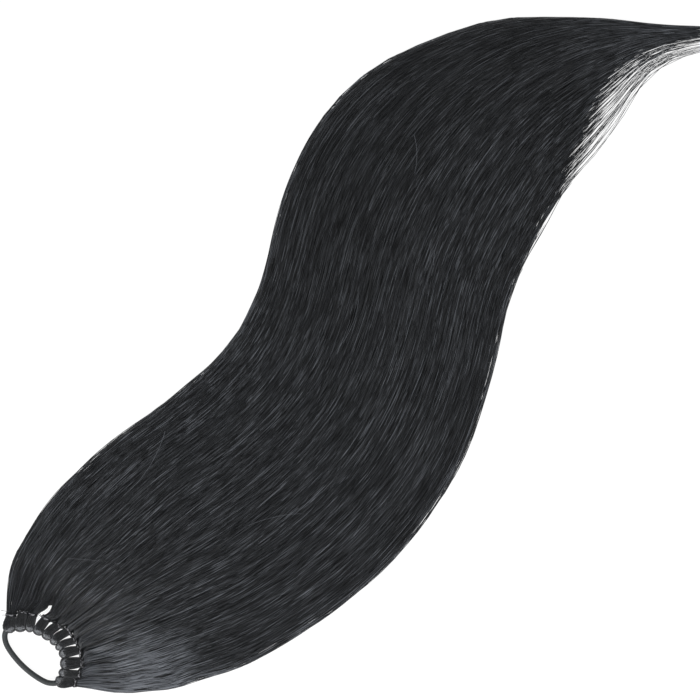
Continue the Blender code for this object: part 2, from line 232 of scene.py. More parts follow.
LOOSE_ENDS = (
    LooseEnd(0.0075, 0.0295, 0.0036, 0.0343, 0.0050, 0.00030),
    LooseEnd(0.0068, 0.0300, 0.0041, 0.0338, 0.0046, 0.00026),
    LooseEnd(0.0062, 0.0280, 0.0021, 0.0317, 0.0048, 0.00030),
    LooseEnd(0.0057, 0.0283, 0.0027, 0.0311, 0.0043, 0.00024),
    LooseEnd(0.0192, 0.0172, 0.0212, 0.0098, 0.0056, 0.00042),
    LooseEnd(0.0204, 0.0168, 0.0200, 0.0106, 0.0052, 0.00036),
    LooseEnd(0.0168, 0.0229, 0.0083, 0.0164, 0.0034, 0.00100),
    LooseEnd(0.0165, 0.0233, 0.0080, 0.0168, 0.0025, 0.00100),
    LooseEnd(0.0172, 0.0225, 0.0086, 0.0160, 0.0025, 0.00100),
)


class Flyaway(NamedTuple):
    """A loose hair on top: where it starts, along and across, its turn from the flow and its bend, in
    degrees, and its length."""

    along: float
    across: float
    turn: float
    bend: float
    length: float


FLYAWAYS = (
    Flyaway(0.078, 0.62, -38, -10, 0.055),
    Flyaway(0.713, 0.50, 128, 70, 0.018),
    Flyaway(0.317, -0.70, 24, -30, 0.030),
    Flyaway(0.180, 0.62, 14, 26, 0.040),
    Flyaway(0.452, 0.20, -18, 34, 0.034),
    Flyaway(0.560, -0.35, 20, -44, 0.030),
    Flyaway(0.640, 0.10, 16, 30, 0.026),
    Flyaway(0.250, -0.15, -12, -22, 0.036),
)

# How many strands there are, how fine they are, where they end and how many are bright

STRANDS_PER_LOCK = 190
STRAND_STATIONS = 56
STRAND_WIDTH = 0.00046
EDGE_STRANDS = 34
KNOT_STRANDS = 34
KNOT_STRAND_WIDTH = 0.00036
CROSSING_HAIRS = 8
CROSSING_HAIR_WIDTH = 0.00060
ENDS_SPREAD = 0.27
FRINGE_SHARE = 0.13
FRINGE_ENDS_SPREAD = 0.07
FRINGE_RUN = 0.0045
BRIGHT_SHARE = 0.20

# The under-body: its start, its end as a share of the length, its depth under the strands, its low side

BODY_START = 0.0170
BODY_END_SHARE = 0.97
BODY_DEPTH = 0.0013
BODY_LOW = 0.0004


def ease(t):
    """0 below 0, 1 above 1, and smooth between."""
    t = np.clip(t, 0.0, 1.0)
    return t * t * (3 - 2 * t)


def lerp(a, b, t):
    return a + (b - a) * t


def smooth_table(rows, at):
    """The columns of a table after its first one, read at values of the first from smooth curves."""
    table = np.array(rows, float)
    x, y = table[:, 0], table[:, 1:]
    slopes = np.empty_like(y)
    slopes[1:-1] = (y[2:] - y[:-2]) / (x[2:] - x[:-2])[:, None]
    slopes[0] = (y[1] - y[0]) / (x[1] - x[0])
    slopes[-1] = (y[-1] - y[-2]) / (x[-1] - x[-2])
    low = np.clip(np.searchsorted(x, at, side="right") - 1, 0, len(x) - 2)
    span = (x[low + 1] - x[low])[:, None]
    t = ((at - x[low]) / span[:, 0])[:, None]
    return (
        (2 * t**3 - 3 * t**2 + 1) * y[low]
        + (t**3 - 2 * t**2 + t) * span * slopes[low]
        + (3 * t**2 - 2 * t**3) * y[low + 1]
        + (t**3 - t**2) * span * slopes[low + 1]
    )


# The elastic's curve

def between(corners, t):
    """A point from the second corner, at t 0, to the third, at t 1, on a curve through all four."""
    p0, p1, p2, p3 = corners
    t1 = np.linalg.norm(p1 - p0) ** 0.5
    t2 = t1 + np.linalg.norm(p2 - p1) ** 0.5
    t3 = t2 + np.linalg.norm(p3 - p2) ** 0.5
    at = lerp(t1, t2, t)
    a1 = lerp(p0, p1, at / t1)
    a2 = lerp(p1, p2, (at - t1) / (t2 - t1))
    a3 = lerp(p2, p3, (at - t2) / (t3 - t2))
    b1 = lerp(a1, a2, at / t2)
    b2 = lerp(a2, a3, (at - t1) / (t3 - t1))
    return lerp(b1, b2, (at - t1) / (t2 - t1))


def loop_points():
    """The elastic's middle line as many short steps, with the length up to each."""
    route = np.array(LOOP_ROUTE) * (LOOP_FRONT_DEPTH, LOOP_HALF_WIDTH)
    points = []
    for index in range(len(route)):
        corners = [route[(index + shift) % len(route)] for shift in (-1, 0, 1, 2)]
        points += [between(corners, step / ROUTE_STEPS) for step in range(ROUTE_STEPS)]
    points = np.array(points + points[:1])
    height = lerp(KNOT_HEIGHT, CORD_RADIUS, ease(-CORD_DROOP * points[:, 0] / LOOP_FRONT_DEPTH))
    points = np.column_stack([points, height])
    lengths = np.concatenate([[0], np.cumsum(np.linalg.norm(np.diff(points, axis=0), axis=1))])
    return points, lengths


LOOP_POINTS, LOOP_LENGTHS = loop_points()
LOOP_LENGTH = LOOP_LENGTHS[-1]
KNOTTED_LENGTH = KNOTTED_SHARE * LOOP_LENGTH


def rows_at(at, places, rows):
    """Rows of a table at these places, read along straight lines."""
    return np.stack([np.interp(at, places, rows[:, column]) for column in range(rows.shape[1])], -1)


def loop_point(length):
    return rows_at(np.mod(length, LOOP_LENGTH), LOOP_LENGTHS, LOOP_POINTS)


def knotted_point(length):
    """The elastic's point this far along its knotted stretch."""
    return loop_point(KNOTTED_START * LOOP_LENGTH + length)


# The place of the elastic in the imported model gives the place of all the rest
CORD_LOW, CORD_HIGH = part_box("elastic_loop")
PLACE = np.array([*((CORD_LOW + CORD_HIGH) / 2)[:2], 0.0])
PLACE[:2] -= (LOOP_POINTS[:, :2].min(0) + LOOP_POINTS[:, :2].max(0)) / 2

# The flow of the hair

SHARES = np.linspace(0, 1, SPINE_STEPS + 1)
HEADINGS = np.radians(smooth_table(BENDS, SHARES)[:, 0])
SPINE_WAYS = np.column_stack([np.cos(HEADINGS), np.sin(HEADINGS)]) * SPINE_LENGTH / SPINE_STEPS
SPINE = np.concatenate([[[0, 0]], np.cumsum(SPINE_WAYS, axis=0)[:-1]])
CUTS = smooth_table(SECTIONS, SHARES)
TIPS = smooth_table(TIP_SPREADS, SHARES)
LOOP, GATHER, LEFT, RIGHT, HEIGHT, RIDGE = range(6)
DENSE, FRINGE = range(2)

# On its right towards the tip the hair spreads to the fringe's edge, and most strands end near the edge
# of the dense hair
HAIR_CUTS = CUTS.copy()
THINNING = SHARES > TIP_SPREADS[0].along
HAIR_CUTS[THINNING, RIGHT] = TIPS[THINNING, FRINGE]
PAST_ALL_HAIR = 2.0
DENSE_EDGE = np.where(THINNING, TIPS[:, DENSE], PAST_ALL_HAIR)


def share_of(distance):
    return np.clip(distance / SPINE_LENGTH, 0, 1)


def side_offset(distance, across, cuts):
    """How far left of the fall's middle line a strand runs, leaving out the elastic's own curve."""
    cut = rows_at(share_of(distance), SHARES, cuts)
    spread = np.abs(across) ** cut[..., GATHER]
    even = np.sign(across) * (cut[..., LEFT] + cut[..., RIGHT]) / 2
    odd = (cut[..., LEFT] - cut[..., RIGHT]) / 2
    return FALL_HALF_WIDTH * (even * spread + odd * spread**2)


def flow_point(distance, across, cuts=CUTS):
    """The point on the table under the hair, this far along the fall, and across it from -1, its right,
    to 1, its left."""
    share = share_of(distance)
    heading = np.interp(share, SHARES, HEADINGS)
    loop = np.interp(share, SHARES, cuts[:, LOOP])
    root = knotted_point((1 - across) / 2 * KNOTTED_LENGTH)
    sideways = loop * root[..., 1] + side_offset(distance, across, cuts)
    ahead = loop * root[..., 0]
    point = np.zeros(np.broadcast(share, across).shape + (3,))
    spine = rows_at(share, SHARES, SPINE)
    point[..., 0] = spine[..., 0] + np.cos(heading) * ahead - np.sin(heading) * sideways
    point[..., 1] = spine[..., 1] + np.sin(heading) * ahead + np.cos(heading) * sideways
    return point


def top_height(distance, across):
    """How high the fall stands above the table there, without its grooves."""
    crown = FALL_HEIGHT * np.interp(share_of(distance), SHARES, CUTS[:, HEIGHT])
    fullness = np.maximum(0.0, 1 - np.abs(across) ** EDGE_NARROWNESS) ** EDGE_ROUNDNESS
    return lerp(np.minimum(EDGE_HEIGHT, 0.6 * crown), crown, fullness)


# The seats of the knots

BUNDLE_SHARES = np.array([bundle.share for bundle in BUNDLES]) / sum(bundle.share for bundle in BUNDLES)
LOCK_EDGES = 1 - 2 * np.concatenate([[0], np.cumsum(BUNDLE_SHARES)])
REACHES = np.array([bundle.reach for bundle in BUNDLES])
NECK_STARTS = REACHES - BINDING_LENGTH / 2 - PIECE_CLEARANCE
NECK_ENDS = REACHES + BINDING_LENGTH / 2 + PIECE_CLEARANCE
SEAT_LENGTHS = (1 - (LOCK_EDGES[1:] + LOCK_EDGES[:-1]) / 2) / 2 * KNOTTED_LENGTH
SEAT_POINTS = knotted_point(SEAT_LENGTHS)
SEAT_TURNS = np.radians([bundle.heading for bundle in BUNDLES])
SEAT_WAYS = np.column_stack([np.cos(SEAT_TURNS), np.sin(SEAT_TURNS), np.zeros(KNOT_COUNT)])
SEAT_SIDES = np.column_stack([-SEAT_WAYS[:, 1], SEAT_WAYS[:, 0], np.zeros(KNOT_COUNT)])
FOLD_WIDTHS = KNOTTED_LENGTH * BUNDLE_SHARES - PIECE_CLEARANCE


def strap_point(index, outward, upward, sideways):
    """A point of a bundle: square to the elastic where it wraps it, and along its own hair at its neck."""
    length = SEAT_LENGTHS[index] - sideways
    step = CORD_RADIUS / 4
    travel = knotted_point(length + step) - knotted_point(length - step)
    travel[..., 2] = 0
    travel /= np.linalg.norm(travel, axis=-1)[..., None]
    square = np.stack([-travel[..., 1], travel[..., 0], travel[..., 2]], -1)
    wrapped = knotted_point(length) + square * outward[..., None]
    gathered = SEAT_POINTS[index] + SEAT_SIDES[index] * sideways[..., None]
    gathered = gathered + SEAT_WAYS[index] * outward[..., None]
    point = lerp(wrapped, gathered, ease(outward / NECK_STARTS[index])[..., None])
    point[..., 2] = KNOT_HEIGHT + upward
    return point


def neck_width(index):
    """The width of a gathered neck: a share of its fold, or what room its neighbours' bindings leave."""
    rooms = [NECK_FULLNESS * FOLD_WIDTHS[index]]
    for beside in {index - 1, index + 1} & set(range(KNOT_COUNT)):
        outward = NECK_STARTS[[index, beside]]
        middle = np.zeros(2)
        gap = strap_point(index, outward, middle, middle) - strap_point(beside, outward, middle, middle)
        rooms.extend(np.linalg.norm(gap, axis=1) - 3 * PIECE_CLEARANCE - 2 * THREAD_THICKNESS)
    return min(rooms)


# The hair fills the neck out to its binding
NECK_WIDTHS = np.array([neck_width(index) for index in range(KNOT_COUNT)]) + 3 * PIECE_CLEARANCE


# Building

def dress(obj, nodes, material):
    """Finishes a piece: its material, its body and the CAD nodes that it stands for."""
    obj.data.materials.clear()
    obj.data.materials.append(material)
    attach(obj, "root")
    if nodes:
        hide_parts(*nodes)
    return obj


def linked(name, mesh):
    obj = bpy.data.objects.new(name, mesh)
    bpy.context.scene.collection.objects.link(obj)
    return obj


def tubes(name, paths, widths, ups, maps, sides=3, flatness=1.0, tones=None):
    """Closed thin tubes as one mesh. paths is strands x stations x 3, widths strands x stations, ups the
    way that each tube's first corner points, and maps the UV place of each station."""
    count, stations = paths.shape[:2]
    ways = np.gradient(paths, axis=1)
    ways /= np.linalg.norm(ways, axis=-1)[..., None] + 1e-12
    asides = np.cross(ups, ways)
    asides /= np.linalg.norm(asides, axis=-1)[..., None] + 1e-12
    lifts = np.cross(ways, asides)
    angles = math.pi / 2 + 2 * math.pi * np.arange(sides) / sides
    half = widths[..., None, None] / 2
    rings = (
        paths[:, :, None]
        + asides[:, :, None] * half * np.cos(angles)[:, None]
        + lifts[:, :, None] * half * flatness * np.sin(angles)[:, None]
    )
    corners = (rings + PLACE).reshape(-1, 3)
    index = np.arange(count * stations * sides).reshape(count, stations, sides)
    a, b = index[:, :-1], index[:, 1:]
    quads = np.stack([a, np.roll(a, -1, 2), np.roll(b, -1, 2), b], -1).reshape(-1, 4)
    starts = index[:, 0, ::-1].reshape(-1, sides)
    ends = index[:, -1].reshape(-1, sides)
    loops = np.concatenate([quads.ravel(), starts.ravel(), ends.ravel()])
    sizes = np.concatenate([np.full(len(quads), 4), np.full(2 * count, sides)])
    mesh = bpy.data.meshes.new(name)
    mesh.vertices.add(len(corners))
    mesh.vertices.foreach_set("co", corners.astype(np.float32).ravel())
    mesh.loops.add(len(loops))
    mesh.loops.foreach_set("vertex_index", loops.astype(np.int32))
    mesh.polygons.add(len(sizes))
    mesh.polygons.foreach_set("loop_start", (np.cumsum(sizes) - sizes).astype(np.int32))
    mesh.update(calc_edges=True)
    mesh.shade_smooth()
    places = np.repeat(maps.reshape(-1, 2), sides, axis=0)
    uv = mesh.uv_layers.new(name="OFBake")
    uv.data.foreach_set("uv", places[loops].astype(np.float32).ravel())
    if tones is not None:
        tone = mesh.attributes.new("tone", "FLOAT", "POINT")
        tone.data.foreach_set("value", np.repeat(tones.ravel(), sides).astype(np.float32))
    mesh.validate()
    return linked(name, mesh)


def ring_body(name, rings, maps):
    """A closed body through rings of points, made by drawing its end face out from ring to ring."""
    bm = bmesh.new()
    start = bm.faces.new([bm.verts.new(point) for point in rings[0]])
    cap = start.copy()
    start.normal_flip()
    for ring in rings[1:]:
        cap = bmesh.ops.extrude_discrete_faces(bm, faces=[cap])["faces"][0]
        for vert, point in zip(cap.verts, ring):
            vert.co = point
    bmesh.ops.remove_doubles(bm, verts=bm.verts, dist=1e-7)
    bmesh.ops.recalc_face_normals(bm, faces=bm.faces)
    mesh = bpy.data.meshes.new(name)
    bm.to_mesh(mesh)
    bm.free()
    mesh.shade_smooth()
    places = np.array([mesh_loop_place(mesh, loop, maps) for loop in mesh.loops])
    uv = mesh.uv_layers.new(name="OFBake")
    uv.data.foreach_set("uv", places.astype(np.float32).ravel())
    tone = mesh.attributes.new("tone", "FLOAT", "POINT")
    tone.data.foreach_set("value", np.ones(len(mesh.vertices), np.float32))
    return linked(name, mesh)


def mesh_loop_place(mesh, loop, maps):
    return maps[tuple(round(c, 6) for c in mesh.vertices[loop.vertex_index].co)]


# Materials

def shader_group(name, inputs, outputs):
    """An empty node group with these value inputs and these outputs, as (name, kind)."""
    group = bpy.data.node_groups.new(name, "ShaderNodeTree")
    for label, value in inputs:
        socket = group.interface.new_socket(name=label, in_out="INPUT", socket_type="NodeSocketFloat")
        socket.default_value = value
    for label, kind in outputs:
        group.interface.new_socket(name=label, in_out="OUTPUT", socket_type=kind)
    return group


def math_node(tree, operation, a, b=None):
    node = tree.nodes.new("ShaderNodeMath")
    node.operation = operation
    for socket, value in zip(node.inputs, (a, b)):
        if isinstance(value, bpy.types.NodeSocket):
            tree.links.new(value, socket)
        elif value is not None:
            socket.default_value = value
    return node.outputs[0]


def hair_streak_group():
    """Fine light and dark streaks that follow the hair, read from a map of along and across."""
    group = shader_group(
        "hair_streaks",
        [("Fineness", 260.0), ("Length", 36.0), ("Patches", 5.0)],
        [("Streaks", "NodeSocketFloat"), ("Sheen", "NodeSocketFloat")],
    )
    nodes, links = group.nodes, group.links
    entry = nodes.new("NodeGroupInput")
    out = nodes.new("NodeGroupOutput")
    place = nodes.new("ShaderNodeUVMap")
    place.uv_map = "OFBake"
    split = nodes.new("ShaderNodeSeparateXYZ")
    links.new(place.outputs["UV"], split.inputs[0])

    def streak(fineness, length, detail):
        joined = nodes.new("ShaderNodeCombineXYZ")
        links.new(math_node(group, "MULTIPLY", split.outputs["X"], length), joined.inputs["X"])
        links.new(math_node(group, "MULTIPLY", split.outputs["Y"], fineness), joined.inputs["Y"])
        noise = nodes.new("ShaderNodeTexNoise")
        noise.inputs["Scale"].default_value = 1.0
        noise.inputs["Detail"].default_value = detail
        links.new(joined.outputs[0], noise.inputs["Vector"])
        return noise.outputs["Fac"]

    fine = streak(entry.outputs["Fineness"], entry.outputs["Length"], 2.0)
    coarse = math_node(group, "MULTIPLY", entry.outputs["Fineness"], 0.14)
    broad = streak(coarse, entry.outputs["Patches"], 1.0)
    contrast = nodes.new("ShaderNodeMapRange")
    contrast.inputs["From Min"].default_value = 0.40
    contrast.inputs["From Max"].default_value = 0.62
    links.new(fine, contrast.inputs["Value"])
    links.new(contrast.outputs["Result"], out.inputs["Streaks"])
    links.new(broad, out.inputs["Sheen"])
    return group


def plain_shader(name, colour, roughness, specular=0.5):
    """A new material, its tree and its main shader, set to plain values."""
    material = bpy.data.materials.new(name)
    material.use_nodes = True
    tree = material.node_tree
    shader = tree.nodes["Principled BSDF"]
    shader.inputs["Base Color"].default_value = (*colour, 1)
    shader.inputs["Roughness"].default_value = roughness
    shader.inputs["Specular IOR Level"].default_value = specular
    return material, tree, shader


def colour_between(tree, mask, dark, light, low, high):
    """A colour from dark to light as the mask goes from low to high."""
    ramp = tree.nodes.new("ShaderNodeMapRange")
    ramp.inputs["From Min"].default_value = low
    ramp.inputs["From Max"].default_value = high
    tree.links.new(mask, ramp.inputs["Value"])
    mix = tree.nodes.new("ShaderNodeMix")
    mix.data_type = "RGBA"
    tree.links.new(ramp.outputs["Result"], mix.inputs["Factor"])
    mix.inputs[6].default_value = (*dark, 1)
    mix.inputs[7].default_value = (*light, 1)
    return mix.outputs[2]


def hair_material(name, streaks, dark, light, roughness, specular):
    """Near-black hair with fine streaks, lighter or darker by its tone: strand by strand, and with the
    painted highlights and painted shade that the pieces put in their tones.
    """
    material, tree, shader = plain_shader(name, dark, roughness, specular)
    effect = tree.nodes.new("ShaderNodeGroup")
    effect.node_tree = streaks
    tone = tree.nodes.new("ShaderNodeAttribute")
    tone.attribute_name = "tone"
    both = math_node(tree, "MULTIPLY", effect.outputs["Streaks"], tone.outputs["Fac"])
    colour = colour_between(tree, both, dark, light, 0.0, 1.0)
    tree.links.new(colour, shader.inputs["Base Color"])
    rough = tree.nodes.new("ShaderNodeMapRange")
    rough.inputs["To Min"].default_value = roughness - 0.06
    rough.inputs["To Max"].default_value = roughness + 0.10
    tree.links.new(effect.outputs["Sheen"], rough.inputs["Value"])
    tree.links.new(rough.outputs["Result"], shader.inputs["Roughness"])
    return material


def knit_material():
    """The elastic's finely knitted cover."""
    material, tree, shader = plain_shader("elastic_cover", (0.02, 0.022, 0.023), 0.62, 0.3)
    place = tree.nodes.new("ShaderNodeUVMap")
    place.uv_map = "OFBake"
    split = tree.nodes.new("ShaderNodeSeparateXYZ")
    tree.links.new(place.outputs["UV"], split.inputs[0])
    along = math_node(tree, "MULTIPLY", split.outputs["X"], 150 * 2 * math.pi)
    around = math_node(tree, "MULTIPLY", split.outputs["Y"], 12 * 2 * math.pi)
    left = math_node(tree, "SINE", math_node(tree, "ADD", along, around))
    right = math_node(tree, "SINE", math_node(tree, "SUBTRACT", along, around))
    knit = math_node(tree, "MULTIPLY", left, right)
    colour = colour_between(tree, knit, (0.012, 0.0135, 0.0145), (0.045, 0.050, 0.052), -1.0, 1.0)
    tree.links.new(colour, shader.inputs["Base Color"])
    bump = tree.nodes.new("ShaderNodeBump")
    bump.inputs["Strength"].default_value = 0.4
    bump.inputs["Distance"].default_value = 0.0001
    tree.links.new(knit, bump.inputs["Height"])
    tree.links.new(bump.outputs["Normal"], shader.inputs["Normal"])
    return material


def thread_material():
    """Shiny black sewing thread, twisted, with painted glints: light specks along its turns."""
    material, tree, shader = plain_shader("binding_thread", (0.010, 0.010, 0.012), 0.35, 0.25)
    place = tree.nodes.new("ShaderNodeUVMap")
    place.uv_map = "OFBake"
    split = tree.nodes.new("ShaderNodeSeparateXYZ")
    tree.links.new(place.outputs["UV"], split.inputs[0])
    joined = tree.nodes.new("ShaderNodeCombineXYZ")
    tree.links.new(math_node(tree, "MULTIPLY", split.outputs["X"], 34.0), joined.inputs["X"])
    tree.links.new(math_node(tree, "MULTIPLY", split.outputs["Y"], 9.0), joined.inputs["Y"])
    painted_glints = tree.nodes.new("ShaderNodeTexNoise")
    painted_glints.inputs["Scale"].default_value = 1.0
    tree.links.new(joined.outputs[0], painted_glints.inputs["Vector"])
    # Painted glints: light specks on the black thread, where its turns would catch the light
    dark, light = (0.005, 0.005, 0.006), (0.34, 0.34, 0.36)
    colour = colour_between(tree, painted_glints.outputs["Fac"], dark, light, 0.54, 0.62)
    tree.links.new(colour, shader.inputs["Base Color"])
    return material


# The strands of the fall

def waves(rng, count, shortest, longest):
    """A smooth random wave for each strand, read at its distances."""
    length = rng.uniform(shortest, longest, (count, 1))
    phase = rng.uniform(0, 2 * math.pi, (count, 1))
    return lambda distance: np.sin(2 * math.pi * distance / length + phase)


def edge_distance(stray_at, runs_on, count, rng):
    """How far along each strand leaves the dense hair on the right, past which fewer and fewer run on as
    the see-through fringe, or the whole length where it never does."""
    distance = np.broadcast_to(np.linspace(0.6, 1.0, 241) * SPINE_LENGTH, (count, 241))
    place = side_offset(distance, stray_at(distance), HAIR_CUTS)
    right = FALL_HALF_WIDTH * np.interp(share_of(distance), SHARES, DENSE_EDGE)
    run = rng.exponential(FRINGE_RUN, (count, 1)) - 0.0010
    outside = (-place > right + run) & ~runs_on
    outside[:, -1] = True
    return distance[0, outside.argmax(1)]


def painted_root_highlight(distance, across):
    """Painted highlight for the tone: the light that the rising roots catch, most of all on the right."""
    near = ease((0.098 - distance) / 0.070) * ease((distance - 0.007) / 0.009)
    return near * (0.02 + 0.26 * ease((0.35 - across) / 0.9) + 2.8 * ease((-0.40 - across) / 0.5))


def lock_paths(lock, count, rng):
    """Paths, widths, map places and tones of the strands of one lock."""
    place = (np.arange(count) + rng.uniform(0.1, 0.9, count))[:, None] / count
    across = lerp(LOCK_EDGES[lock], LOCK_EDGES[lock + 1], place)
    sideways = 1 - 2 * place
    depth = rng.permutation(count)[:, None] / count
    long_wave = waves(rng, count, 0.12, 0.30)
    short_wave = waves(rng, count, 0.05, 0.10)
    dive_wave = waves(rng, count, 0.03, 0.09)

    fullness = (1.3 if lock < PARTING_LOCK else 0.45) * ease((depth - 0.35) / 0.3)

    def stray_at(distance):
        """Across value with a little wandering, more of it towards the ends, and the parting held open.
        Lower strands lie under the next lock near the root."""
        share = share_of(distance)
        parting = LOCK_EDGES[PARTING_LOCK]
        loose = 0.0007 * ease(distance / 0.08) + 0.0012 * ease((share - 0.55) / 0.4)
        short = 0.0004 * ease(distance / 0.08) * ease((0.75 - share) / 0.15)
        stray = across + (long_wave(distance) * loose + short_wave(distance) * short) / FALL_HALF_WIDTH
        under = fullness * ease((0.040 - distance) / 0.020)
        lock_span = LOCK_EDGES[lock + 1] - LOCK_EDGES[lock]
        stray = np.clip(stray + (place - 0.5) * lock_span * under, -1.01, 1.01)
        if lock in (PARTING_LOCK - 1, PARTING_LOCK):
            openness = np.clip((PARTING_END - distance) / (PARTING_END - LOCK_JOIN), 0, 1)
            near = 1 - np.abs(across - parting) / (LOCK_EDGES[lock] - LOCK_EDGES[lock + 1])
            beside = np.sign(across - parting)
            stray = parting + beside * np.maximum(beside * (stray - parting), 0)
            stray = stray + beside * (PARTING_HALF_WIDTH * openness) / WIDTH_AT_PARTING * near
        sway = PARTING_SWAY * ease((distance - 0.012) / 0.020) * ease((0.085 - distance) / 0.050)
        return stray + sway * np.clip(1 - np.abs(across - parting) / 0.35, 0, 1)

    runs_on = rng.random((count, 1)) < FRINGE_SHARE
    spread = np.where(runs_on, FRINGE_ENDS_SPREAD, ENDS_SPREAD)
    own_end = SPINE_LENGTH * (1 - spread * rng.random((count, 1)) ** 0.85)
    end = np.minimum(edge_distance(stray_at, runs_on, count, rng)[:, None], own_end)
    start = NECK_ENDS[lock] - 0.0010
    distance = lerp(start, end, np.linspace(0, 1, STRAND_STATIONS) ** 1.5)
    stray = stray_at(distance)
    flowing = flow_point(distance, stray, HAIR_CUTS)
    ridge = np.interp(share_of(distance), SHARES, CUTS[:, RIDGE])
    groove = 1 - ridge * ease((np.abs(sideways) - 0.40) / 0.60)
    top = top_height(distance, np.clip(stray, -1, 1)) * groove
    dive = 0.00035 * (1 + dive_wave(distance)) * ease(distance / 0.05)
    sunk = lerp(depth * (top - 0.0008), depth * 0.0009, ease((distance - 0.016) / 0.03))
    flowing[..., 2] = np.maximum(top - sunk - dive, 0.00025)

    neck = SEAT_POINTS[lock] + SEAT_WAYS[lock] * distance[..., None]
    neck = neck + SEAT_SIDES[lock] * (NECK_WIDTHS[lock] / 2 * 0.92 * sideways)[..., None]
    thick = (LEG_OFFSET + STRAP_THICKNESS / 2) * 0.92 * np.sqrt(1 - 0.8 * sideways**2)
    neck[..., 2] = KNOT_HEIGHT + thick * (1 - 2 * depth)
    joined = 1 - (1 - np.clip((distance - start) / (LOCK_JOIN - start), 0, 1)) ** 2.0
    paths = lerp(neck, flowing, joined[..., None])

    # Finer in the neck, at the ends and in the fringe
    share = share_of(distance)
    fine = rng.uniform(0.75, 1.2, (count, 1))
    widths = STRAND_WIDTH * fine * lerp(0.55, 1.0, ease((distance - 0.010) / 0.03))
    widths = widths * lerp(0.35, 1.0, ease((end - distance) / 0.014))
    widths = widths * (1 - 0.4 * runs_on * ease((share - 0.66) / 0.12))
    maps = np.stack([share, (np.clip(stray, -1, 1) + 1) / 2], -1)

    # Some strands are bright, at random. The painted root highlight is added, the left half gets painted
    # shade past 40% of the way, the tip is lighter, the left rim gets a painted highlight, and the grooves
    # between the locks get painted shade at the root
    bright = (rng.random((count, 1)) < BRIGHT_SHARE) * rng.uniform(0.4, 0.9, (count, 1))
    tones = 0.08 + 0.20 * rng.random((count, 1)) + bright + painted_root_highlight(distance, across)
    tones = tones * (1 - 0.3 * ease((share - 0.40) / 0.1) * ease((across + 0.3) / 0.6))
    tones = tones + 0.32 * ease((share - 0.82) / 0.08)
    tones = tones + 0.45 * ease((across - 0.96) / 0.04) * ease((share - 0.20) / 0.20)
    painted_groove_shade = ease((np.abs(sideways) - 0.72) / 0.28) * ease((0.085 - distance) / 0.06)
    return paths, widths, maps, tones * (1 - 0.85 * painted_groove_shade)


def strand_piece(name, strands, material, nodes):
    """Strands, in several batches of paths, widths, map places and tones, as one piece."""
    paths, widths, maps, tones = (np.concatenate(part) for part in zip(*strands))
    up = np.broadcast_to(np.array([0.0, 0.0, 1.0]), paths.shape)
    obj = tubes(name, paths, widths, up, maps, flatness=0.7, tones=tones)
    return dress(obj, nodes, material)


def edge_paths(side, rng):
    """Loose strands just outside one edge of the fall, on side 1, the left, or -1, the right."""
    count = EDGE_STRANDS
    start = rng.uniform(0.04, 0.62, (count, 1)) * SPINE_LENGTH
    end = start + rng.uniform(0.03, 0.10, (count, 1))
    distance = lerp(start, end, np.linspace(0, 1, 24))
    out = np.sin(math.pi * np.linspace(0, 1, 24)) * rng.uniform(0.1, 1.0, (count, 1)) * 0.012
    across = side * (0.994 + out)
    paths = flow_point(distance, across)
    paths[..., 2] = 0.0011 + 0.0002 * rng.random((count, 1))
    widths = np.full(distance.shape, STRAND_WIDTH * 0.5)
    maps = np.stack([share_of(distance), np.full(distance.shape, 0.5 + 0.48 * side)], -1)
    tones = np.broadcast_to(0.5 + 0.5 * rng.random((count, 1)), distance.shape)
    return paths, widths, maps, tones


def flyaway_paths():
    """The loose hairs that curl over the top of the fall."""
    count = 24
    stations = np.linspace(0, 1, count)
    widths, tones = np.full((1, count), STRAND_WIDTH * 0.55), np.full((1, count), 1.8)
    batches = []
    for hair in FLYAWAYS:
        turn = np.interp(hair.along, SHARES, HEADINGS) + np.radians(hair.turn + hair.bend * stations)
        steps = np.column_stack([np.cos(turn), np.sin(turn), np.zeros(count)]) * hair.length / count
        across = np.array([hair.across])
        distance = np.array([hair.along * SPINE_LENGTH])
        path = flow_point(distance, across)[0] + np.cumsum(steps, axis=0)
        path[:, 2] = top_height(distance, across * 0.55) + 0.0004 + 0.0008 * np.sin(math.pi * stations)
        maps = np.column_stack([np.full(count, hair.along), np.full(count, (hair.across + 1) / 2)])
        batches.append((path[None], widths, maps[None], tones))
    return batches


def loose_end_paths():
    """The short loose ends beside and between the knots."""
    batches = []
    for end in LOOSE_ENDS:
        start = np.array([end.start_ahead, end.start_left, end.height])
        stop = np.array([end.end_ahead, end.end_left, end.height])
        path = lerp(start, stop, np.linspace(0, 1, 8)[:, None])
        maps = np.column_stack([np.linspace(0, 0.01, 8), np.full(8, 0.9)])
        batches.append((path[None], np.full((1, 8), end.width), maps[None], np.full((1, 8), 0.25)))
    return batches


def crossing_paths(rng):
    """Dark hairs that run across the gaps beyond the parting, from the neck of one lock to the next."""
    batches = []
    for index in range(PARTING_LOCK, KNOT_COUNT - 1):
        ahead = rng.uniform(-0.0012, 0.0012, (CROSSING_HAIRS, 2))
        ends = []
        for near, side, column in ((index, -1, 0), (index + 1, 1, 1)):
            place = SEAT_POINTS[near] + SEAT_WAYS[near] * (REACHES[near] + ahead[:, column])[:, None]
            ends.append(place + SEAT_SIDES[near] * side * 0.8 * NECK_WIDTHS[near] / 2)
        paths = lerp(ends[0][:, None], ends[1][:, None], np.linspace(0, 1, 8)[:, None])
        paths[..., 2] = KNOT_HEIGHT + rng.uniform(-0.0010, 0.0004, (CROSSING_HAIRS, 1))
        size = paths.shape[:2]
        maps = np.stack([np.broadcast_to(np.linspace(0, 0.01, 8), size), np.full(size, 0.5)], -1)
        batches.append((paths, np.full(size, CROSSING_HAIR_WIDTH), maps, np.full(size, 0.03)))
    return batches


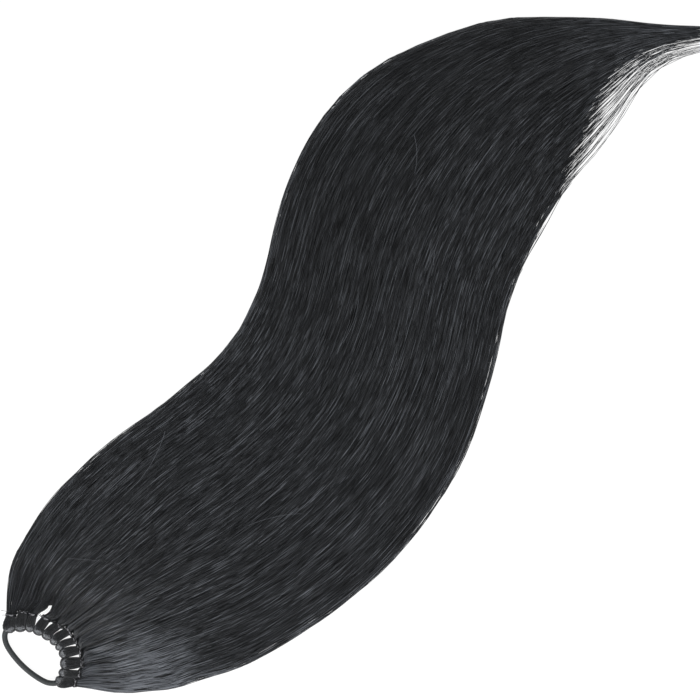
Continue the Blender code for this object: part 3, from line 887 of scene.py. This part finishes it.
def make_body(material):
    """The mass of hair under the outer strands."""
    columns = np.linspace(1, -1, 41)
    parting = LOCK_EDGES[PARTING_LOCK]
    starts = [0.0020, 0.0035, 0.0040, 0.0175, 0.0015, -0.0045, -0.0055]
    places = [-1, -0.9, parting - 0.03, parting + 0.06, parting + 0.14, parting + 0.20, 1]
    later = np.interp(columns, places, starts)
    distances = np.linspace(BODY_START, BODY_END_SHARE * SPINE_LENGTH, 66)
    rings, maps = [], {}
    for distance in distances:
        share = distance / SPINE_LENGTH
        thin = ease((share - 0.62) / 0.25)
        cut = rows_at(share, SHARES, CUTS)
        dense = min(1.0, np.interp(share, SHARES, DENSE_EDGE) / cut[RIGHT])
        narrow = 1 - 0.88 * ease((share - 0.88) / 0.09)
        left = narrow * (1 - lerp(0.03, 0.08, thin))
        right = narrow * dense * (1 - lerp(0.03, 0.06, thin))
        across = np.where(columns > 0, columns * left, columns * right)
        far = distance + later * max(0.0, 1 - (distance - BODY_START) / 0.045)
        top = flow_point(far, across) + PLACE
        low = top[::-1].copy()
        height = top_height(far, across) * (1 - np.interp(share, SHARES, CUTS[:, RIDGE]))
        top[:, 2] = np.maximum(height - BODY_DEPTH, 0.0007)
        low[:, 2] = BODY_LOW
        ring = [tuple(float(c) for c in point) for point in np.concatenate([top, low])]
        rings.append(ring)
        for point, place in zip(ring, np.concatenate([across, across[::-1]])):
            vert = Vector(point)
            maps[tuple(round(c, 6) for c in vert)] = (share, (place + 1) / 2)
    obj = ring_body("hair_body", rings, maps)
    return dress(obj, ["hair_fall"], material)


# The knots and their bindings

def strap_path(index, steps):
    """(outward, upward, way, width) along a bundle: out of the neck, round the elastic and back."""
    start = NECK_STARTS[index]
    legs = np.linspace(NECK_ENDS[index] + 0.0004, 0, steps, endpoint=False)
    leg_up = lerp(STRAP_PATH_RADIUS, LEG_OFFSET, ease(legs / start))
    narrowing = ease((legs - start + NECK_TAPER) / NECK_TAPER)
    leg_width = lerp(FOLD_WIDTHS[index], NECK_WIDTHS[index], narrowing)
    angles = math.pi * np.linspace(0.5, 1.5, 2 * steps)
    outward = np.concatenate([legs, STRAP_PATH_RADIUS * np.cos(angles), legs[::-1]])
    upward = np.concatenate([leg_up, STRAP_PATH_RADIUS * np.sin(angles), -leg_up[::-1]])
    widths = np.concatenate([leg_width, np.full(2 * steps, FOLD_WIDTHS[index]), leg_width[::-1]])
    ways = np.gradient(np.column_stack([outward, upward]), axis=0)
    ways /= np.linalg.norm(ways, axis=1)[:, None]
    return outward, upward, ways, widths


def strap_surface(index, path, side, depth):
    """Points on a bundle's rounded outer face, or a depth inside it. side runs across it from -1 to 1."""
    outward, upward, ways, widths = path
    folded = ease(1 - np.abs(outward) / NECK_STARTS[index])
    lift = STRAP_THICKNESS / 2 * np.sqrt(np.maximum(1 - side**2, 0)) - 0.0009 * folded * side**2 - depth
    return strap_point(index, outward + ways[:, 1] * lift, upward - ways[:, 0] * lift, side * widths / 2)


def make_knot(index, rng, hair, core):
    """One bundle of hair folded over the elastic, as strands over a core."""
    path = strap_path(index, 8)
    outward, upward, ways, widths = path
    stations = len(outward)
    place = (np.arange(KNOT_STRANDS)[:, None] + 0.5) / KNOT_STRANDS * 2 - 1
    lean = rng.normal(0, 0.04, (KNOT_STRANDS, 1)) * np.linspace(-1, 1, stations)
    side = np.clip(np.sin(math.pi / 2 * place) + lean, -0.985, 0.985)
    depth = 0.00014 + rng.uniform(0, 0.00010, (KNOT_STRANDS, 1))
    paths = strap_surface(index, path, side, depth)
    above = strap_surface(index, path, side, depth - 0.001)
    fine = rng.uniform(0.85, 1.15, (KNOT_STRANDS, 1))
    strand_widths = KNOT_STRAND_WIDTH * (widths / widths.max()) ** 0.5 * fine
    along = np.broadcast_to(np.linspace(0.02, 0.98, stations), (KNOT_STRANDS, stations))
    maps = np.stack([along, np.broadcast_to((place + 1) / 2, along.shape)], -1)
    # Painted highlight: a light crescent across each fold near its top, where the key light would glint
    painted_crescent_highlight = np.exp(-(((outward + 0.0009 - 0.0014 * side**2) / 0.0011) ** 2)) * (upward > 0)
    tones = 0.05 + 0.12 * rng.random((KNOT_STRANDS, 1)) + 1.1 * painted_crescent_highlight * (1 - side**4)
    name = f"knot_strands_{index + 1:02d}"
    strands = tubes(name, paths, strand_widths, above - paths, maps, flatness=0.8, tones=tones)
    dress(strands, [f"knot_{index + 1:02d}"], hair)

    sides = 16
    turn = 2 * math.pi * (np.arange(sides) + 0.5) / sides
    rings, places = [], {}
    faces_out = np.sin(turn) > 0
    side = 0.95 * np.cos(turn)[:, None] * np.ones(stations)
    outer = strap_surface(index, path, side, 0.00034)
    inner = strap_surface(index, path, side, 0.0011 * np.sqrt(1 - side**2) + 0.00034)
    surface = np.where(faces_out[:, None, None], outer, inner) + PLACE
    for at in range(stations):
        ring = surface[:, at]
        rings.append([tuple(float(c) for c in point) for point in ring])
        for step, point in enumerate(rings[-1]):
            places[tuple(round(c, 6) for c in Vector(point))] = (at / stations, step / sides)
    body = ring_body(f"knot_core_{index + 1:02d}", rings, places)
    dress(body, [f"knot_{index + 1:02d}"], core)


def make_binding(index, rng, material):
    """Thread wound round the neck of a bundle, two layers deep."""
    turns, per_turn = 5, 22
    layers = []
    for layer in range(2):
        t = np.linspace(0, 1, turns * per_turn + 1)
        angle = 2 * math.pi * turns * t * (1 if layer == 0 else -1) + rng.uniform(0, 6)
        room = THREAD_THICKNESS * (0.25 + 0.45 * layer)
        half_width = NECK_WIDTHS[index] / 2 + room
        half_height = LEG_OFFSET + STRAP_THICKNESS / 2 + room
        outward = REACHES[index] + BINDING_LENGTH * lerp(-0.40, 0.40, t)
        path = SEAT_POINTS[index] + SEAT_WAYS[index] * outward[:, None]
        aside = np.sign(np.cos(angle)) * np.abs(np.cos(angle)) ** BINDING_ROUNDNESS
        lift = np.sign(np.sin(angle)) * np.abs(np.sin(angle)) ** BINDING_ROUNDNESS
        out = np.stack([aside * SEAT_SIDES[index][0], aside * SEAT_SIDES[index][1], lift], -1)
        path = path + out * np.array([half_width, half_width, half_height])
        path[:, 2] += KNOT_HEIGHT - SEAT_POINTS[index][2]
        layers.append((path, out))
    paths = np.stack([path for path, _ in layers])
    ups = np.stack([out for _, out in layers])
    widths = np.full(paths.shape[:2], 0.00036)
    along = np.broadcast_to(np.linspace(0, 1, paths.shape[1]), paths.shape[:2])
    maps = np.stack([along, np.broadcast_to([[0.25], [0.75]], along.shape)], -1)
    obj = tubes(f"binding_thread_{index + 1:02d}", paths, widths, ups, maps, sides=5)
    dress(obj, [f"binding_{index + 1:02d}"], material)


def make_elastic(material):
    """The closed elastic with its finely ribbed knitted cover."""
    stations, sides = 300, 20
    bm = bmesh.new()
    start = bmesh.ops.create_circle(bm, segments=sides, radius=CORD_RADIUS)["verts"]
    start.sort(key=lambda vert: math.atan2(vert.co.y, vert.co.x))
    lengths = LOOP_LENGTH * np.arange(stations) / stations
    middles = loop_point(lengths)
    ways = loop_point(lengths + 0.0004) - loop_point(lengths - 0.0004)
    rings = []
    edges = list({edge for vert in start for edge in vert.link_edges})
    verts = start
    for at in range(stations):
        if at:
            made = bmesh.ops.extrude_edge_only(bm, edges=edges)["geom"]
            fresh = {item for item in made if isinstance(item, bmesh.types.BMVert)}
            drawn = [item for item in made if isinstance(item, bmesh.types.BMEdge)]
            edges = [edge for edge in drawn if fresh.issuperset(edge.verts)]
            verts = [next(e.other_vert(v) for e in v.link_edges if e.other_vert(v) in fresh) for v in verts]
        way = Vector(ways[at]).normalized()
        aside = Vector((0, 0, 1)).cross(way).normalized()
        lift = way.cross(aside)
        for step, vert in enumerate(verts):
            angle = 2 * math.pi * step / sides
            rib = 1 + 0.025 * math.cos(math.pi * (at + step))
            out = aside * math.cos(angle) + lift * math.sin(angle)
            vert.co = Vector(middles[at] + PLACE) + out * CORD_RADIUS * rib * 0.98
        rings.append(list(verts))
    last = [bm.edges.get((rings[-1][i], rings[-1][(i + 1) % sides])) for i in range(sides)]
    first = [bm.edges.get((rings[0][i], rings[0][(i + 1) % sides])) for i in range(sides)]
    bmesh.ops.bridge_loops(bm, edges=last + first)
    bmesh.ops.recalc_face_normals(bm, faces=bm.faces)
    uv = bm.loops.layers.uv.new("OFBake")
    number = {vert: (at, step) for at, ring in enumerate(rings) for step, vert in enumerate(ring)}
    for face in bm.faces:
        places = [number[loop.vert] for loop in face.loops]
        wrap_at = max(p[0] for p in places) - min(p[0] for p in places) > 1
        wrap_step = max(p[1] for p in places) - min(p[1] for p in places) > 1
        for loop, (at, step) in zip(face.loops, places):
            at += stations if wrap_at and at == 0 else 0
            step += sides if wrap_step and step == 0 else 0
            loop[uv].uv = (at / stations, step / sides)
    mesh = bpy.data.meshes.new("elastic_band")
    bm.to_mesh(mesh)
    bm.free()
    mesh.shade_smooth()
    return dress(linked("elastic_band", mesh), ["elastic_loop"], material)


# The studio

def aim(obj, target):
    obj.rotation_euler = (Vector(target) - obj.location).to_track_quat("-Z", "Y").to_euler()


def soft_light(name, place, size, power, target):
    """A square soft light at a place, aimed at a target."""
    light = bpy.data.lights.new(name, "AREA")
    light.shape = "SQUARE"
    light.size = size
    light.energy = power
    obj = bpy.data.objects.new(name, light)
    bpy.context.scene.collection.objects.link(obj)
    obj.location = place
    aim(obj, target)


def make_studio():
    """A straight-down camera, a near-white table and soft light from the lower left of the picture."""
    picture_middle = Vector((0.2765, 0.0101, 0)) + Vector(PLACE)
    picture_width, picture_turn = 0.441, math.radians(-41.8)
    camera_height = 4.0
    camera = bpy.data.cameras.new("camera")
    camera.sensor_width = 36
    camera.lens = camera.sensor_width * camera_height / picture_width
    camera.clip_end = 50
    seen = bpy.data.objects.new("camera", camera)
    bpy.context.scene.collection.objects.link(seen)
    seen.location = picture_middle + Vector((0, 0, camera_height))
    seen.rotation_euler = (0, 0, picture_turn)
    bpy.context.scene.camera = seen

    bm = bmesh.new()
    bmesh.ops.create_grid(bm, x_segments=1, y_segments=1, size=6)
    mesh = bpy.data.meshes.new("table_top")
    bm.to_mesh(mesh)
    bm.free()
    table = linked("table_top", mesh)
    table.location.z = -0.0002
    white, _, shader = plain_shader("table_white", (0.12, 0.12, 0.12), 0.9, 0.0)
    shader.inputs["Emission Color"].default_value = (1, 1, 1, 1)
    shader.inputs["Emission Strength"].default_value = 0.94
    mesh.materials.append(white)

    world = bpy.data.worlds.new("studio")
    bpy.context.scene.world = world
    world.use_nodes = True
    world.node_tree.nodes["Background"].inputs["Color"].default_value = (0.96, 0.98, 1.0, 1)
    world.node_tree.nodes["Background"].inputs["Strength"].default_value = 0.50
    right = Vector((math.cos(picture_turn), math.sin(picture_turn), 0))
    up = Vector((-right.y, right.x, 0))
    knots = Vector((-0.27, -0.02, 0))
    middle = Vector((0, 0, 0))
    key_place = knots - right * 0.55 - up * 0.85 + Vector((0, 0, 0.95))
    fill_place = middle + right * 1.2 + up * 0.6 + Vector((0, 0, 1.6))
    soft_light("key", key_place, 0.35, 22, knots)
    soft_light("fill", fill_place, 1.2, 8, middle)
    bpy.context.scene.view_settings.view_transform = "Standard"


def main():
    make_studio()
    rng = np.random.default_rng(7)
    streaks = hair_streak_group()
    # Strands: the light end is reached by bright strands and by the painted root and rim highlights
    dark, light = (0.0045, 0.0050, 0.0060), (0.140, 0.149, 0.166)
    hair = hair_material("black_hair_strands", streaks, dark, light, 0.40, 0.45)
    dark, light = (0.003, 0.003, 0.0035), (0.010, 0.010, 0.012)
    under = hair_material("black_hair_under", streaks, dark, light, 0.55, 0.3)
    # Folded hair: the light end is reached by the painted crescent highlights on the knots
    dark, light = (0.0050, 0.0052, 0.0060), (0.30, 0.31, 0.33)
    folded = hair_material("black_hair_folded", streaks, dark, light, 0.32, 0.5)
    knit = knit_material()
    thread = thread_material()
    make_elastic(knit)
    make_body(under)
    groups = (
        ("locks_left", (0, 1, 2)),
        ("locks_mid_left", (3, 4, 5)),
        ("locks_mid_right", (6, 7, 8)),
        ("locks_right", (9, 10)),
    )
    for name, locks in groups:
        strands = [lock_paths(lock, STRANDS_PER_LOCK, rng) for lock in locks]
        strand_piece(name, strands, hair, ["hair_fall"])
    strand_piece("edge_strands", [edge_paths(side, rng) for side in (1, -1)], hair, [])
    strand_piece("flyaways", flyaway_paths(), hair, [])
    strand_piece("loose_ends", loose_end_paths() + crossing_paths(rng), hair, [])
    for index in range(KNOT_COUNT):
        make_knot(index, rng, folded, under)
        make_binding(index, rng, thread)


main()
